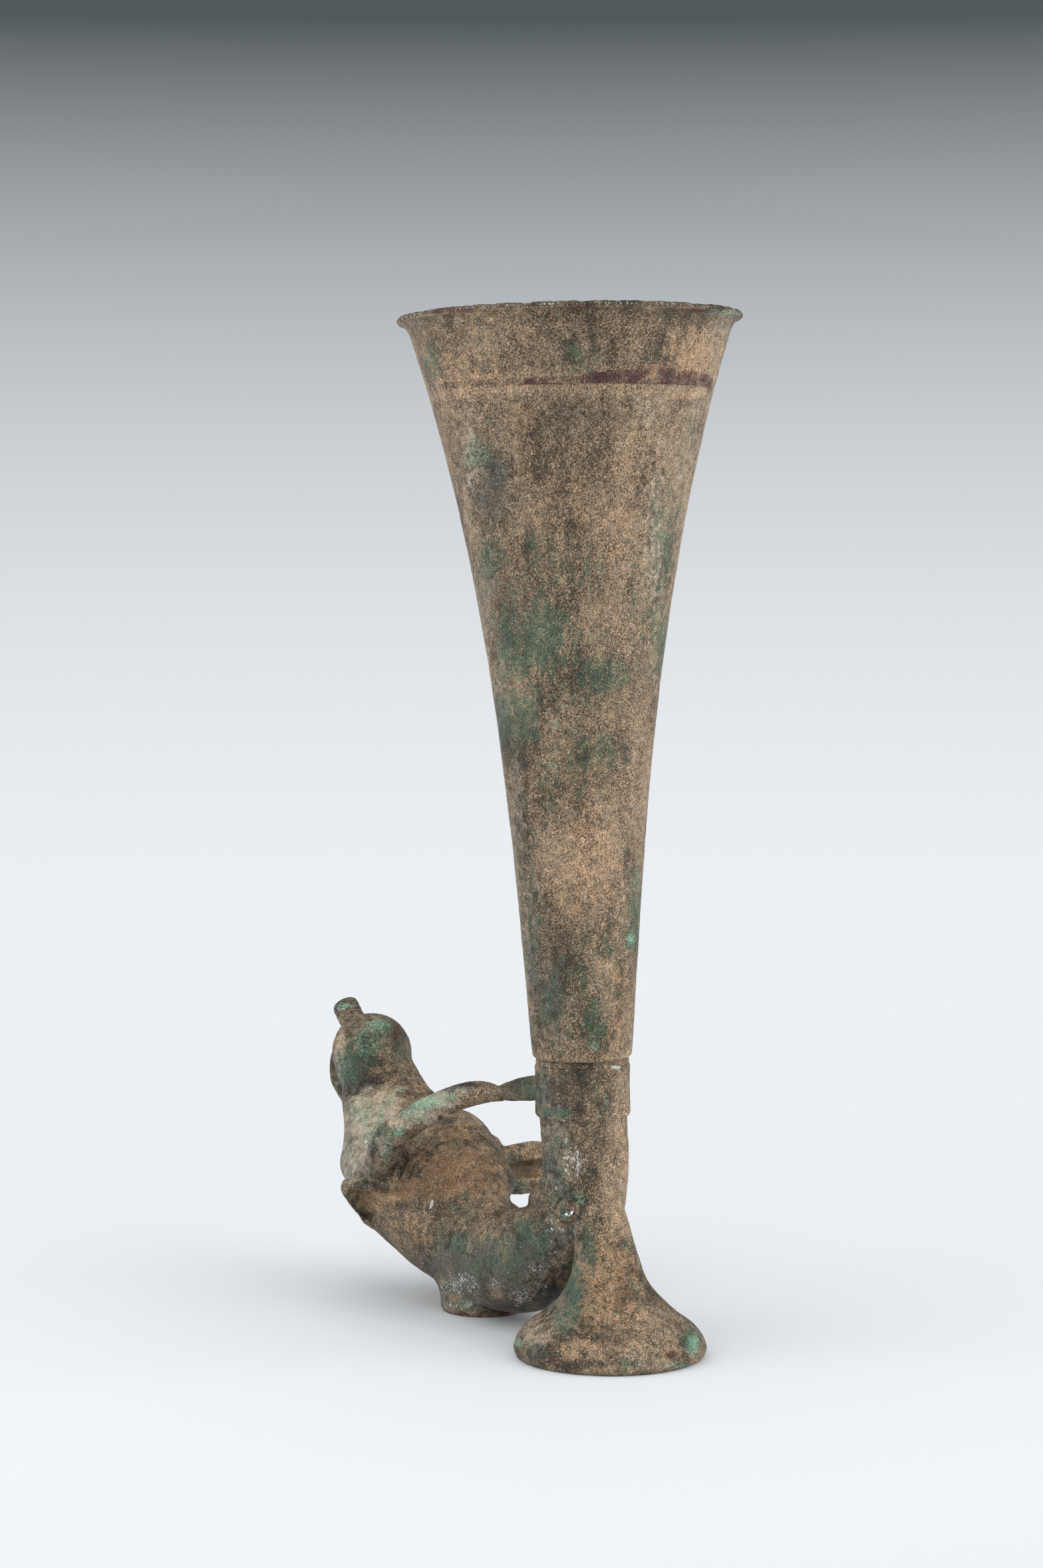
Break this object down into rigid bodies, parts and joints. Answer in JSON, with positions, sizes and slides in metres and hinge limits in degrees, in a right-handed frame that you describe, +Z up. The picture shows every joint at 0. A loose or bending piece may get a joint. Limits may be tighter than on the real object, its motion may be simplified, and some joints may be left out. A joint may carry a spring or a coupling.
{
  "type": "rhyton",
  "caption": "Tall trumpet-mouthed bronze drinking horn whose stem bends into an animal's neck and upturned head with a pouring spout, standing on a bell foot.",
  "frame": {"origin": "on the floor under the middle of the whole object's box", "axes": "+X towards the animal's head and spout, +Y to the animal's left, +Z up along the beaker"},
  "size_m": [0.2206, 0.113, 0.34],
  "materials": {
    "bronze_patina": "matt brown and olive patina with tan grains, green and white flecks",
    "green_patina": "matt grey-green patina with mint green patches and dark red spots",
    "solder_crust": "dull dark purple-brown crust",
    "iron_rust": "rough brown rust"
  },
  "bodies": {
    "root": {"mouth_ring": "bronze_patina", "beaker": "bronze_patina", "joint_collar": "bronze_patina", "neck_elbow": "bronze_patina", "head_shell": "bronze_patina", "foot_bell": "bronze_patina", "chest_closing_disc": "bronze_patina", "left_ear": "bronze_patina", "right_ear": "bronze_patina", "right_horn_root": "bronze_patina", "spout_tube": "green_patina", "left_horn": "green_patina", "left_horn_tie": "green_patina", "seam_solder": "solder_crust", "collar_solder": "solder_crust", "core_pin_near": "iron_rust", "core_pin_far": "iron_rust"}
  },
  "joints": []
}
